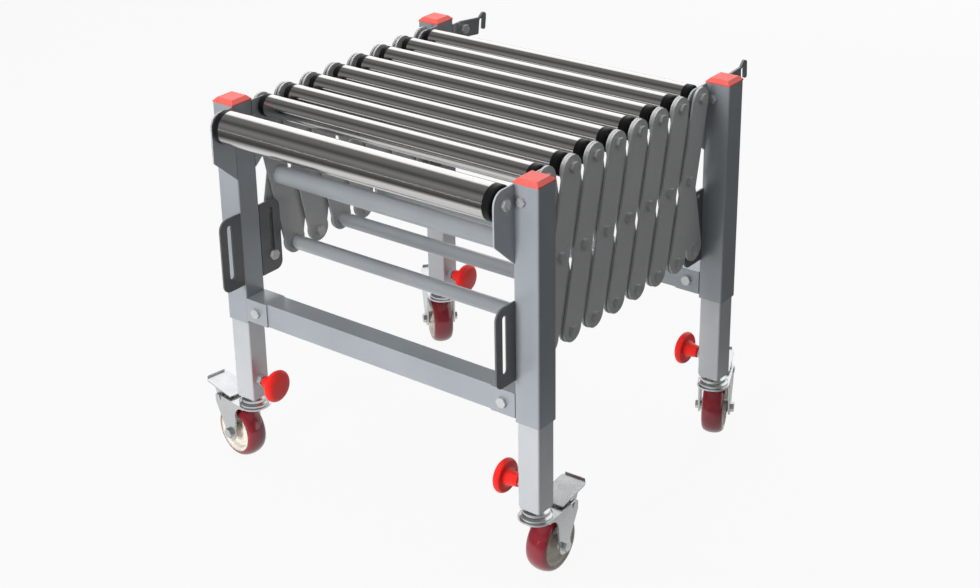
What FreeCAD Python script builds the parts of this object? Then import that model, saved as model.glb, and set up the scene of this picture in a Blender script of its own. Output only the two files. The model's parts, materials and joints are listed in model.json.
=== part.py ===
import FreeCAD, Part
import os
from math import cos, radians, sin, sqrt, tan

# Expandable roller table: two end frames on braked swivel casters, joined by a
# lazy-tong scissor on each side that carries a deck of free rollers.
# Millimetres, +Z up, front towards -Y. The origin is on the floor, midway between
# the four posts when the table is pushed together.

Vector = FreeCAD.Vector

# Square tubes: posts, fixed sleeves inside them, sliding legs inside the sleeves
POST = 45.0
POST_WALL = 2.0
SLEEVE_GAP = 0.5
SLEEVE_WALL = 2.0
LEG_GAP = 0.3
LEG_WALL = 1.5
TUBE_CORNER = 3.0
POST_SPAN = 607.0
POST_LENGTH = 391.0
SLEEVE_EXPOSED = 149.0
SLEEVE_INSERT = 175.0
LEG_LENGTH = 296.0
CAP_HEIGHT = 8.0
CAP_BEVEL = 6.0
CAP_PLUG = 12.0
CAP_PLUG_GAP = 0.3

# Cross rail, its saddle plates and their bolts
RAIL_HEIGHT = 42.0
RAIL_WALL = 2.0
RAIL_LIFT = 6.0
RAIL_END_GAP = 0.5
SADDLE_PLATE = 3.0
SADDLE_WIDTH = 46.0
SADDLE_BOLT_IN = 23.0

# Rollers
ROLLER_DIAMETER = 38.0
ROLLER_WALL = 1.5
FRONT_ROLLER_DIAMETER = 57.0
FRONT_ROLLER_WALL = 2.0
FRONT_ROLLER_REACH = 24.0
ROLLER_RISE = 3.0
ROLLER_END_GAP = 4.0
ROLLER_CAP_RIM = 8.0
ROLLER_CAP_PLUG = 14.0
ROLLER_CAP_EDGE = 1.5

# Scissor links
UNITS = 7
LINK_LENGTH = 278.0
REST_PITCH = 61.0
LINK_WIDTH = 46.0
LINK_END = 19.0
LINK_THICKNESS = 4.0
LAYER_GAP = 1.0
FRONT_REACH = 27.0
REAR_REACH = 32.0
FIRST_ROD_DIAMETER = 32.0
ROD_DIAMETER = 25.0
ROD_WALL = 2.0
ROD_BOLT_DEPTH = 15.0

# Pivot bolts, axles and their fits
PIVOT_DIAMETER = 10.0
SEAT_GAP = 0.05
RUN_GAP = 0.08
OPEN_GAP = 0.3
HEX_ACROSS = 16.0
HEX_HEIGHT = 6.0
COLLAR_DIAMETER = 18.0
SLIDE_GAP = 0.5

# Roller brackets and slotted plates on the posts
PLATE = 3.0
BRACKET_TOP_DROP = 1.0
BRACKET_EDGE = 25.0
BRACKET_ROUND = 22.0
BRACKET_DROP = 58.0
BRACKET_FOOT = 102.0
BRACKET_CORNER = 4.0
SLOT_LENGTH = 97.0
SLOT_BELOW_PIVOT = 10.0
SLOT_PLATE_BELOW = 21.0
SLOT_PLATE_ABOVE = 13.0
SLOT_PLATE_EDGE = 21.0
SLOT_PLATE_TOP_ROUND = 18.0
SLOT_PLATE_LOW_ROUND = 14.0

# Small bolts in the posts and rear plates
POST_BOLT_DIAMETER = 8.0
POST_BOLT_DROP = 26.0
POST_BOLT_IN = 6.5
POST_BOLT_LENGTH = 10.0
SMALL_HEX_ACROSS = 13.0
SMALL_HEX_HEIGHT = 5.0
PLATE_BOLT_OUT = 15.0
PLATE_BOLT_DROP = 9.0

# Coupling hooks behind the rear posts, each swinging on a bolt in a short lug
HOOK_REACH = 27.0
HOOK_DROP = 25.0
HOOK_LUG = 30.0
HOOK_LUG_ROUND = 14.5
HOOK_PLATE = 4.0
HOOK_GAP = 0.5
HOOK_BACK = 15.0
HOOK_LENGTH = 66.0
HOOK_CREST = 26.0
HOOK_DEPTH = 16.0
HOOK_LIP = 9.0
HOOK_LIP_DROP = 8.0
HOOK_MOUTH = 11.0
HOOK_MOUTH_TOP = 14.0
HOOK_MOUTH_ROUND = 5.0
HOOK_BACK_ROUND = 7.0
HOOK_CREST_ROUND = 5.5
HOOK_TIP_ROUND = 3.0

# Where each hook lies on its bolt, in degrees above level
HOOK_TILT = {"left": -7.0, "right": 3.0}

# Clamp knobs on the sleeves
KNOB_DIAMETER = 58.0
KNOB_REAR_DIAMETER = 50.0
KNOB_FACE_DIAMETER = 46.0
KNOB_CROWN_DIAMETER = 26.0
KNOB_THICKNESS = 16.0
KNOB_RIM_START = 5.0
KNOB_RIM_WIDTH = 4.0
KNOB_CROWN_DROP = 2.0
KNOB_NECK_DIAMETER = 26.0
KNOB_NECK_ROOT = 20.0
KNOB_NECK = 22.0
KNOB_LIFT = 31.0
KNOB_STUD_DIAMETER = 10.0
KNOB_NUT_GAP = 2.5
KNOB_TIP_GAP = 0.3
CLAMP_NUT_ACROSS = 18.0
CLAMP_NUT_HEIGHT = 8.0

# Foot of each leg, the caster's race and its kingpin
FOOT_GAP = 0.3
FOOT_PLATE = 3.0
FOOT_SIDE = 38.0
RACE_DIAMETER = 44.0
RACE_HEIGHT = 9.0
RACE_BEVEL = 4.0
KINGPIN_DIAMETER = 12.0
KINGPIN_HEAD_DIAMETER = 18.0
KINGPIN_HEAD = 3.0
SWIVEL_GAP = 0.3

# Caster forks and wheels
DISH_DIAMETER = 52.0
DISH_HEIGHT = 7.4
DISH_BEVEL = 3.0
CROWN_PLATE = 3.0
CROWN_CLEARANCE = 13.0
CROWN_FRONT = 28.0
CROWN_ROUND = 25.0
CROWN_CORNER = 4.0
CROWN_EAR_GAP = 4.0
TRAIL = 40.0
CHEEK_INSIDE = 25.0
CHEEK = 3.0
CHEEK_FRONT = 3.0
CHEEK_SKIRT = 2.0
CHEEK_LEAN = 6.0
CHEEK_ARCH = 22.0
CHEEK_EAR = 16.0
CHEEK_ROUND = 8.0
CHEEK_WAIST_ROUND = 14.0
AXLE_EYE = 14.0
AXLE_EYE_ROUND = 12.0
AXLE_EYE_RISE = 8.0
AXLE_DIAMETER = 10.0
WHEEL_DIAMETER = 100.0
WHEEL_WIDTH = 38.0
TREAD_DEPTH = 12.0
TREAD_ROUND = 10.0
HUB_RIM = 4.0
HUB_WEB_HALF = 7.0
HUB_BOSS_DIAMETER = 26.0
HUB_SIDE_GAP = 1.0

# Brake pedals
BRAKE_PIN_BEHIND = 28.0
BRAKE_PIN_DROP = 3.0
BRAKE_PIN_DIAMETER = 6.0
BRAKE_PIN_HEAD_DIAMETER = 12.0
BRAKE_PIN_HEAD = 1.5
BRAKE_PIN_EDGE = 9.0
BRAKE_TRAVEL = 18.0
BRAKE_GAP = 0.5
BRAKE_TONGUE_OUT = 12.0
BRAKE_TONGUE_WIDTH = 24.0
PEDAL_PLATE = 2.5
PEDAL_LAP = 20.0
PEDAL_REACH = 46.0
PEDAL_ROOT_LIFT = 2.6
PEDAL_TIP_LIFT = 10.5
PEDAL_LIP = 6.0
PEDAL_ROUND = 12.0
PEDAL_CORNER = 3.0
PEDAL_EAR_GAP = 1.5
PEDAL_EAR = 2.0
PEDAL_EAR_ROUND = 6.0
PEDAL_EAR_CORNER = 4.8
PEDAL_EAR_BACK = 15.0

# Angle at which each caster trails, in degrees from +X
CASTER_ANGLE = {"front_left": 171.0, "front_right": 92.0, "rear_left": 140.0, "rear_right": 113.0}

# Places worked out from the sizes above
SLEEVE = POST - 2 * POST_WALL - 2 * SLEEVE_GAP
LEG = SLEEVE - 2 * SLEEVE_WALL - 2 * LEG_GAP
CROWN_BOTTOM = WHEEL_DIAMETER + CROWN_CLEARANCE
CROWN_TOP = CROWN_BOTTOM + CROWN_PLATE
DISH_TOP = CROWN_TOP + DISH_HEIGHT
CASTER_HEIGHT = DISH_TOP + SWIVEL_GAP + RACE_HEIGHT + FOOT_PLATE + FOOT_GAP
POST_BOTTOM = CASTER_HEIGHT + SLEEVE_EXPOSED
POST_TOP = POST_BOTTOM + POST_LENGTH
INNER_FACE = POST_SPAN / 2 - POST / 2
DEPTH = POST + FRONT_REACH + UNITS * REST_PITCH + REAR_REACH
FRONT_POST_Y = -DEPTH / 2
REAR_POST_Y = DEPTH / 2
RAIL_BOTTOM = POST_BOTTOM + RAIL_LIFT
RAIL_TOP = RAIL_BOTTOM + RAIL_HEIGHT
RAIL_MIDDLE = RAIL_BOTTOM + RAIL_HEIGHT / 2
DECK = POST_TOP + ROLLER_RISE
TOP_Z = DECK - ROLLER_DIAMETER / 2
BOTTOM_Z = TOP_Z - sqrt(LINK_LENGTH ** 2 - REST_PITCH ** 2)
FIRST_PIVOT_Y = FRONT_POST_Y + POST / 2 + FRONT_REACH
FRONT_ROLLER_Y = FRONT_POST_Y - POST / 2 - FRONT_ROLLER_REACH
FRONT_ROLLER_Z = DECK - FRONT_ROLLER_DIAMETER / 2
ROLLER_HALF = INNER_FACE - ROLLER_END_GAP
PLATE_OUT = INNER_FACE + PLATE
INNER_LINK_X = PLATE_OUT + LAYER_GAP
OUTER_LINK_X = INNER_LINK_X + LINK_THICKNESS + LAYER_GAP
PIVOT_R = PIVOT_DIAMETER / 2
HOOK_Y = REAR_POST_Y + POST / 2 + HOOK_REACH
HOOK_Z = POST_TOP - HOOK_DROP
SLOT_LOW = BOTTOM_Z - SLOT_BELOW_PIVOT
SLOT_HIGH = SLOT_LOW + SLOT_LENGTH
KNOB_Z = CASTER_HEIGHT + KNOB_LIFT
BRAKE_PIN_OUT = TRAIL + BRAKE_PIN_BEHIND
BRAKE_PIN_Z = CROWN_BOTTOM - BRAKE_PIN_DROP
CROWN_BACK = BRAKE_PIN_OUT - PEDAL_EAR_ROUND - CROWN_EAR_GAP
CHEEK_BACK = BRAKE_PIN_OUT + BRAKE_PIN_EDGE
PEDAL_ROOT = CROWN_BACK - PEDAL_LAP
PEDAL_TIP = BRAKE_PIN_OUT + PEDAL_REACH
PEDAL_HALF = CHEEK_INSIDE - PEDAL_EAR_GAP
PEDAL_EAR_INSIDE = PEDAL_HALF - PEDAL_EAR
CORNERS = {"front_left": (-1, -1), "front_right": (1, -1), "rear_left": (-1, 1), "rear_right": (1, 1)}


def on_yz(x):
    """Puts an outline's (u, v) on the plane at this x."""
    return lambda u, v: Vector(x, u, v)


def on_xz(y):
    """Puts an outline's (u, v) on the plane at this y."""
    return lambda u, v: Vector(u, y, v)


def on_xy(z):
    """Puts an outline's (u, v) on the plane at this height."""
    return lambda u, v: Vector(u, v, z)


def rounded_face(corners, place):
    """A flat face from corners (u, v, radius), each corner rounded by its own radius."""
    stops = []
    count = len(corners)
    for i in range(count):
        u, v, radius = corners[i]
        here = place(u, v)
        if radius == 0:
            stops.append((here, None, here))
            continue
        before = place(*corners[i - 1][:2]) - here
        after = place(*corners[(i + 1) % count][:2]) - here
        before.normalize()
        after.normalize()
        half = before.getAngle(after) / 2
        middle = before + after
        middle.normalize()
        centre = here + middle * (radius / sin(half))
        reach = radius / tan(half)
        stops.append((here + before * reach, centre - middle * radius, here + after * reach))
    edges = []
    for i in range(count):
        enter, middle, leave = stops[i]
        if middle is not None:
            edges.append(Part.Arc(enter, middle, leave).toShape())
        ahead = stops[(i + 1) % count][0]
        if leave.distanceToPoint(ahead) > 1e-6:
            edges.append(Part.LineSegment(leave, ahead).toShape())
    return Part.Face(Part.Wire(edges))


def long_round_face(start, end, radius, place):
    """A flat face with straight sides and a half circle round each end point."""
    along = Vector(end[0] - start[0], end[1] - start[1], 0)
    along.normalize()
    across = Vector(-along.y, along.x, 0) * radius

    def at(point, side, ahead):
        u = point[0] + across.x * side + along.x * ahead
        v = point[1] + across.y * side + along.y * ahead
        return place(u, v)

    edges = [
        Part.LineSegment(at(start, 1, 0), at(end, 1, 0)).toShape(),
        Part.Arc(at(end, 1, 0), at(end, 0, radius), at(end, -1, 0)).toShape(),
        Part.LineSegment(at(end, -1, 0), at(start, -1, 0)).toShape(),
        Part.Arc(at(start, -1, 0), at(start, 0, -radius), at(start, 1, 0)).toShape(),
    ]
    return Part.Face(Part.Wire(edges))


def block(x0, x1, y0, y1, z0, z1):
    """A plain box between two corners given in any order."""
    low = Vector(min(x0, x1), min(y0, y1), min(z0, z1))
    return Part.makeBox(abs(x1 - x0), abs(y1 - y0), abs(z1 - z0), low)


def rod_x(x0, x1, y, z, radius):
    """A round bar along X."""
    return Part.makeCylinder(radius, abs(x1 - x0), Vector(min(x0, x1), y, z), Vector(1, 0, 0))


def rod_y(x, y0, y1, z, radius):
    """A round bar along Y."""
    return Part.makeCylinder(radius, abs(y1 - y0), Vector(x, min(y0, y1), z), Vector(0, 1, 0))


def hexagon(across, place):
    """A regular hexagon of this width across flats, centred on the plane's (0, 0)."""
    reach = across / sqrt(3)
    corners = []
    for i in range(6):
        turn = radians(60 * i)
        corners.append((reach * cos(turn), reach * sin(turn), 0))
    return rounded_face(corners, place)


def hex_x(x0, x1, y, z, across):
    """A hexagon head or nut along X."""
    shape = hexagon(across, on_yz(min(x0, x1))).extrude(Vector(abs(x1 - x0), 0, 0))
    shape.translate(Vector(0, y, z))
    return shape


def hex_y(x, y0, y1, z, across):
    """A hexagon head or nut along Y."""
    shape = hexagon(across, on_xz(min(y0, y1))).extrude(Vector(0, abs(y1 - y0), 0))
    shape.translate(Vector(x, 0, z))
    return shape


def turned_x(profile, y, z):
    """A solid of revolution about an X axis; the profile is (x, radius) points."""
    face = rounded_face([(x, radius, 0) for x, radius in profile], on_xz(0))
    solid = face.revolve(Vector(0, 0, 0), Vector(1, 0, 0), 360)
    solid.translate(Vector(0, y, z))
    return solid


def turned_z(profile):
    """A solid of revolution about the Z axis; the profile is (radius, z) points."""
    face = rounded_face([(radius, z, 0) for radius, z in profile], on_xz(0))
    return face.revolve(Vector(0, 0, 0), Vector(0, 0, 1), 360)


def square_tube(x, y, z0, z1, side, wall):
    """An upright square tube with rounded corners."""
    outer = square_face(x, y, z0, side, TUBE_CORNER).extrude(Vector(0, 0, z1 - z0))
    bore_corner = max(TUBE_CORNER - wall, TUBE_CORNER / 4)
    bore = square_face(x, y, z0, side - 2 * wall, bore_corner).extrude(Vector(0, 0, z1 - z0))
    return outer.cut(bore)


def square_face(x, y, z, side, corner):
    """A level square with rounded corners."""
    half = side / 2
    corners = [(x - half, y - half, corner), (x + half, y - half, corner),
               (x + half, y + half, corner), (x - half, y + half, corner)]
    return rounded_face(corners, on_xy(z))


def post_y(end):
    """Y of the front (-1) or rear (1) posts."""
    return FRONT_POST_Y if end < 0 else REAR_POST_Y


def post_bolt_place(side, end):
    """X, the post's front face in Y, and Z of the bolt in that face."""
    return side * (POST_SPAN / 2 - POST_BOLT_IN), post_y(end) - POST / 2, POST_TOP - POST_BOLT_DROP


def frame_tubes(end):
    """Both posts, the cross rail between them and the saddle plates that hold it."""
    y = post_y(end)
    solids = []
    for side in (-1, 1):
        post = square_tube(side * POST_SPAN / 2, y, POST_BOTTOM, POST_TOP, POST, POST_WALL)
        bolt_x, face, bolt_z = post_bolt_place(side, end)
        hole_r = POST_BOLT_DIAMETER / 2 + SEAT_GAP
        solids.append(post.cut(rod_y(bolt_x, face, face + POST_WALL * 2, bolt_z, hole_r)))
    half = INNER_FACE - RAIL_END_GAP
    deep = POST / 2 - SADDLE_PLATE
    rail = block(-half, half, y - deep, y + deep, RAIL_BOTTOM, RAIL_TOP)
    rail = rail.cut(block(-half, half, y - deep + RAIL_WALL, y + deep - RAIL_WALL,
                          RAIL_BOTTOM + RAIL_WALL, RAIL_TOP - RAIL_WALL))
    hole_r = PIVOT_R + SEAT_GAP
    for side in (-1, 1):
        bolt_x = side * (INNER_FACE - SADDLE_BOLT_IN)
        hole = rod_y(bolt_x, y - POST, y + POST, RAIL_MIDDLE, hole_r)
        rail = rail.cut(hole)
        for face in (-1, 1):
            tab = block(side * (INNER_FACE - SADDLE_WIDTH), side * INNER_FACE,
                        y + face * deep, y + face * POST / 2, RAIL_BOTTOM, RAIL_TOP)
            solids.append(tab.cut(hole))
    solids.append(rail)
    return solids


def sleeves(end):
    """The two lower tubes fixed inside the posts, each with a hole for its clamp screw."""
    solids = []
    top = POST_BOTTOM + SLEEVE_INSERT
    for side in (-1, 1):
        x = side * POST_SPAN / 2
        sleeve = square_tube(x, post_y(end), CASTER_HEIGHT, top, SLEEVE, SLEEVE_WALL)
        wall = x - side * SLEEVE / 2
        hole = rod_x(wall - SLEEVE_WALL * 2, wall + SLEEVE_WALL * 2, post_y(end), KNOB_Z,
                     KNOB_STUD_DIAMETER / 2 + OPEN_GAP)
        solids.append(sleeve.cut(hole))
    return solids


def caps(end):
    """Bevelled plastic caps with a plug down the bore of each post."""
    solids = []
    for side in (-1, 1):
        x = side * POST_SPAN / 2
        cap = block(x - POST / 2, x + POST / 2, post_y(end) - POST / 2, post_y(end) + POST / 2,
                    POST_TOP, POST_TOP + CAP_HEIGHT)
        rim = [edge for edge in cap.Edges if edge.BoundBox.ZMin > POST_TOP + CAP_HEIGHT / 2]
        cap = cap.makeChamfer(CAP_BEVEL, rim)
        plug_side = POST - 2 * POST_WALL - 2 * CAP_PLUG_GAP
        plug = square_face(x, post_y(end), POST_TOP - CAP_PLUG, plug_side, TUBE_CORNER / 2)
        solids.append(cap.fuse(plug.extrude(Vector(0, 0, CAP_PLUG))).removeSplitter())
    return solids


def bracket(side, end, out, reach, pin_z, hole_r):
    """A plate standing off a post face, with a rounded top corner, a cut foot and a pin hole."""
    face = post_y(end) + out * POST / 2
    edge = face + out * (reach + BRACKET_EDGE)
    top = POST_TOP - BRACKET_TOP_DROP
    corners = [(face, top, 0), (edge, top, BRACKET_ROUND),
               (edge, pin_z - BRACKET_DROP, BRACKET_CORNER), (face, pin_z - BRACKET_FOOT, 0)]
    plate = rounded_face(corners, on_yz(side * INNER_FACE)).extrude(Vector(side * PLATE, 0, 0))
    return plate.cut(rod_x(side * INNER_FACE, side * PLATE_OUT, face + out * reach, pin_z, hole_r))


def brackets(end):
    """Scissor brackets on the inside of the posts; outside, roller brackets or hook lugs."""
    reach = FRONT_REACH if end < 0 else REAR_REACH
    solids = []
    for side in (-1, 1):
        solids.append(bracket(side, end, -end, reach, TOP_Z, PIVOT_R + RUN_GAP))
        if end < 0:
            solids.append(bracket(side, end, end, FRONT_ROLLER_REACH, FRONT_ROLLER_Z, PIVOT_R + SEAT_GAP))
        else:
            solids.append(hook_lug(side))
    return solids


def hook_lug(side):
    """A short round-ended plate behind a rear post that holds a hook's bolt."""
    face = REAR_POST_Y + POST / 2
    low = HOOK_Z - HOOK_LUG / 2
    high = HOOK_Z + HOOK_LUG / 2
    edge = HOOK_Y + HOOK_LUG / 2
    corners = [(face, low, 0), (edge, low, HOOK_LUG_ROUND), (edge, high, HOOK_LUG_ROUND), (face, high, 0)]
    plate = rounded_face(corners, on_yz(side * INNER_FACE)).extrude(Vector(side * PLATE, 0, 0))
    return plate.cut(rod_x(side * INNER_FACE, side * PLATE_OUT, HOOK_Y, HOOK_Z, PIVOT_R + SEAT_GAP))


def slot_plate(side, end, out, reach):
    """A plate standing off a post face with one upright slot."""
    face = post_y(end) + out * POST / 2
    edge = face + out * (reach + SLOT_PLATE_EDGE)
    low = SLOT_LOW - SLOT_PLATE_BELOW
    high = SLOT_HIGH + SLOT_PLATE_ABOVE
    corners = [(face, high, 0), (edge, high, SLOT_PLATE_TOP_ROUND),
               (edge, low, SLOT_PLATE_LOW_ROUND), (face, low, 0)]
    plate = rounded_face(corners, on_yz(side * INNER_FACE)).extrude(Vector(side * PLATE, 0, 0))
    radius = PIVOT_R + OPEN_GAP
    middle = face + out * reach
    slot = long_round_face((middle, SLOT_LOW + radius), (middle, SLOT_HIGH - radius), radius,
                           on_yz(side * INNER_FACE))
    return plate.cut(slot.extrude(Vector(side * PLATE, 0, 0)))


def plate_bolt_place():
    """Y and Z of the bolt near the top of each rear slotted plate."""
    return REAR_POST_Y - POST / 2 - PLATE_BOLT_OUT, SLOT_HIGH + SLOT_PLATE_ABOVE - PLATE_BOLT_DROP


def slot_plates(end):
    """Guides for the scissor's lowest pivots, and coupling slots ahead of the front posts."""
    solids = []
    for side in (-1, 1):
        if end < 0:
            solids.append(slot_plate(side, end, -end, FRONT_REACH))
            solids.append(slot_plate(side, end, end, FRONT_REACH))
        else:
            y, z = plate_bolt_place()
            hole = rod_x(side * INNER_FACE, side * PLATE_OUT, y, z, POST_BOLT_DIAMETER / 2 + SEAT_GAP)
            solids.append(slot_plate(side, end, -end, REAR_REACH).cut(hole))
    return solids


def axle(y, z, head_x):
    """A round axle right across the table with a hexagon at each end, outside head_x."""
    bar = rod_x(-head_x, head_x, y, z, PIVOT_R)
    for side in (-1, 1):
        bar = bar.fuse(hex_x(side * head_x, side * (head_x + HEX_HEIGHT), y, z, HEX_ACROSS))
    return bar


def cross_bolt(side, y, z, inside, outside):
    """A short bolt along X on one side, with a hexagon outside both given planes."""
    bolt = rod_x(side * inside, side * outside, y, z, PIVOT_R)
    bolt = bolt.fuse(hex_x(side * outside, side * (outside + HEX_HEIGHT), y, z, HEX_ACROSS))
    return bolt.fuse(hex_x(side * (inside - HEX_HEIGHT), side * inside, y, z, HEX_ACROSS))


def post_bolt(side, end):
    """A hexagon bolt through the front wall of a post."""
    x, face, z = post_bolt_place(side, end)
    bolt = rod_y(x, face, face + POST_BOLT_LENGTH, z, POST_BOLT_DIAMETER / 2)
    return bolt.fuse(hex_y(x, face - SMALL_HEX_HEIGHT, face, z, SMALL_HEX_ACROSS))


def saddle_bolt(side, end):
    """A bolt through the saddle plates and the end of the cross rail."""
    x = side * (INNER_FACE - SADDLE_BOLT_IN)
    front = post_y(end) - POST / 2
    back = post_y(end) + POST / 2
    bolt = rod_y(x, front, back, RAIL_MIDDLE, PIVOT_R)
    bolt = bolt.fuse(hex_y(x, front - HEX_HEIGHT, front, RAIL_MIDDLE, HEX_ACROSS))
    return bolt.fuse(hex_y(x, back, back + HEX_HEIGHT, RAIL_MIDDLE, HEX_ACROSS))


def clamp_nut(side, end):
    """The nut welded to a sleeve's inner face for the clamp screw."""
    face = side * (POST_SPAN / 2 - SLEEVE / 2)
    inner = face - side * CLAMP_NUT_HEIGHT
    nut = hex_x(inner, face, post_y(end), KNOB_Z, CLAMP_NUT_ACROSS)
    return nut.cut(rod_x(inner, face, post_y(end), KNOB_Z, KNOB_STUD_DIAMETER / 2 + RUN_GAP))


def plate_bolt(side):
    """A small bolt through the top of a rear slotted plate."""
    y, z = plate_bolt_place()
    inner = side * (INNER_FACE - SMALL_HEX_HEIGHT)
    bolt = rod_x(side * INNER_FACE, side * PLATE_OUT, y, z, POST_BOLT_DIAMETER / 2)
    return bolt.fuse(hex_x(inner, side * INNER_FACE, y, z, SMALL_HEX_ACROSS))


def hook_bolt(side):
    """The bolt that a coupling hook swings on, fixed in the rear bracket."""
    inner = INNER_FACE - HOOK_PLATE - 2 * HOOK_GAP
    return cross_bolt(side, HOOK_Y, HOOK_Z, inner, PLATE_OUT)


def fasteners(end):
    """Bolts and welded nuts of one end frame, and at the front the front roller's axle."""
    solids = []
    for side in (-1, 1):
        solids.append(post_bolt(side, end))
        solids.append(saddle_bolt(side, end))
        solids.append(clamp_nut(side, end))
        if end > 0:
            solids.append(plate_bolt(side))
            solids.append(hook_bolt(side))
    if end < 0:
        solids.append(axle(FRONT_ROLLER_Y, FRONT_ROLLER_Z, PLATE_OUT))
    return solids


def hook(side):
    """A swinging coupling hook: a plate whose end turns down over an open mouth."""
    mouth_end = HOOK_LENGTH - HOOK_LIP
    mouth_start = mouth_end - HOOK_MOUTH
    corners = [(-HOOK_BACK, -HOOK_DEPTH, HOOK_BACK_ROUND), (-HOOK_BACK, HOOK_DEPTH, HOOK_BACK_ROUND),
               (mouth_start, HOOK_DEPTH, 0), (mouth_end, HOOK_CREST, HOOK_CREST_ROUND),
               (HOOK_LENGTH, HOOK_CREST - HOOK_LIP / 2, HOOK_CREST_ROUND),
               (HOOK_LENGTH, -HOOK_LIP_DROP, HOOK_TIP_ROUND), (mouth_end, -HOOK_LIP_DROP, HOOK_TIP_ROUND),
               (mouth_end, HOOK_MOUTH_TOP, HOOK_MOUTH_ROUND), (mouth_start, HOOK_MOUTH_TOP, HOOK_MOUTH_ROUND),
               (mouth_start, -HOOK_DEPTH, HOOK_TIP_ROUND)]
    x = side * (INNER_FACE - HOOK_GAP)
    plate = rounded_face(corners, on_yz(x)).extrude(Vector(-side * HOOK_PLATE, 0, 0))
    plate = plate.cut(rod_x(x, x - side * HOOK_PLATE, 0, 0, PIVOT_R + RUN_GAP))
    plate.rotate(Vector(0, 0, 0), Vector(1, 0, 0), HOOK_TILT["right" if side > 0 else "left"])
    plate.translate(Vector(0, HOOK_Y, HOOK_Z))
    return [plate]


def pivot_y(step):
    """Y of a scissor pivot, counted in pitches from the first one."""
    return FIRST_PIVOT_Y + step * REST_PITCH


MIDDLE_Z = (TOP_Z + BOTTOM_Z) / 2


def link_bar(side, layer_x, top_step, bottom_step, gaps):
    """One flat link with full-round ends and a hole at each of its three pivots."""
    top = (pivot_y(top_step), TOP_Z)
    low = (pivot_y(bottom_step), BOTTOM_Z)
    inset = (LINK_WIDTH / 2 - LINK_END) / LINK_LENGTH
    start = (top[0] + (low[0] - top[0]) * inset, top[1] + (low[1] - top[1]) * inset)
    end = (low[0] + (top[0] - low[0]) * inset, low[1] + (top[1] - low[1]) * inset)
    bar = long_round_face(start, end, LINK_WIDTH / 2, on_yz(side * layer_x))
    bar = bar.extrude(Vector(side * LINK_THICKNESS, 0, 0))
    middle = ((top[0] + low[0]) / 2, MIDDLE_Z)
    for (y, z), gap in zip((top, middle, low), gaps):
        bar = bar.cut(rod_x(side * layer_x, side * (layer_x + LINK_THICKNESS), y, z, PIVOT_R + gap))
    return bar


def has_rod(step, middle):
    """Tie rods stand at the first unit's middle pivot and at every second low pivot."""
    return step == 0 if middle else step % 2 == 1 and step < UNITS


def low_bolt(side, y, z, outside, step, middle):
    """The bolt of a middle or low pivot, screwed into a tie rod or held by a nut."""
    if has_rod(step, middle):
        bolt = rod_x(side * (INNER_LINK_X - ROD_BOLT_DEPTH), side * outside, y, z, PIVOT_R)
        return bolt.fuse(hex_x(side * outside, side * (outside + HEX_HEIGHT), y, z, HEX_ACROSS))
    return cross_bolt(side, y, z, INNER_LINK_X, outside)


def slide_bolt(side, y, layer_x):
    """A low end pivot that rides in a slotted plate, with a collar up to its link."""
    outside = layer_x + LINK_THICKNESS
    bolt = cross_bolt(side, y, BOTTOM_Z, INNER_FACE - SLIDE_GAP, outside)
    collar = rod_x(side * (PLATE_OUT + SLIDE_GAP), side * layer_x, y, BOTTOM_Z, COLLAR_DIAMETER / 2)
    return bolt.fuse(collar)


def inner_links(i):
    """The left and right links from top pivot i to low pivot i + 1, with the bolts they carry."""
    outside = OUTER_LINK_X + LINK_THICKNESS
    solids = []
    for side in (-1, 1):
        solids.append(link_bar(side, INNER_LINK_X, i, i + 1, (SEAT_GAP, SEAT_GAP, SEAT_GAP)))
        solids.append(low_bolt(side, pivot_y(i + 0.5), MIDDLE_Z, outside, i, True))
        if i + 1 == UNITS:
            solids.append(slide_bolt(side, pivot_y(i + 1), INNER_LINK_X))
        else:
            solids.append(low_bolt(side, pivot_y(i + 1), BOTTOM_Z, outside, i + 1, False))
    head_x = INNER_LINK_X + LINK_THICKNESS if i == 0 else outside
    solids.append(axle(pivot_y(i), TOP_Z, head_x))
    return solids


def outer_links(i):
    """The left and right links from low pivot i to top pivot i + 1."""
    closed_low = i % 2 == 1
    top_gap = SEAT_GAP if i + 1 == UNITS else RUN_GAP if closed_low else OPEN_GAP
    low_gap = SEAT_GAP if i == 0 else RUN_GAP if closed_low else OPEN_GAP
    solids = []
    for side in (-1, 1):
        solids.append(link_bar(side, OUTER_LINK_X, i + 1, i, (top_gap, RUN_GAP, low_gap)))
        if i == 0:
            solids.append(slide_bolt(side, pivot_y(0), OUTER_LINK_X))
    if i + 1 == UNITS:
        last = axle(pivot_y(UNITS), TOP_Z, OUTER_LINK_X + LINK_THICKNESS)
        for side in (-1, 1):
            last = last.fuse(rod_x(side * (PLATE_OUT + SLIDE_GAP), side * OUTER_LINK_X,
                                   pivot_y(UNITS), TOP_Z, COLLAR_DIAMETER / 2))
        solids.append(last)
    return solids


def tie_rod(y, z, diameter):
    """A round tube between the inner links, with a plug in each end that takes a pivot bolt."""
    bore_r = diameter / 2 - ROD_WALL
    tube = rod_x(-INNER_LINK_X, INNER_LINK_X, y, z, diameter / 2)
    solids = [tube.cut(rod_x(-INNER_LINK_X, INNER_LINK_X, y, z, bore_r))]
    for side in (-1, 1):
        inner = side * (INNER_LINK_X - ROD_BOLT_DEPTH - SLIDE_GAP)
        plug = rod_x(inner, side * INNER_LINK_X, y, z, bore_r - SEAT_GAP)
        solids.append(plug.cut(rod_x(inner, side * INNER_LINK_X, y, z, PIVOT_R + SEAT_GAP)))
    return solids


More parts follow.
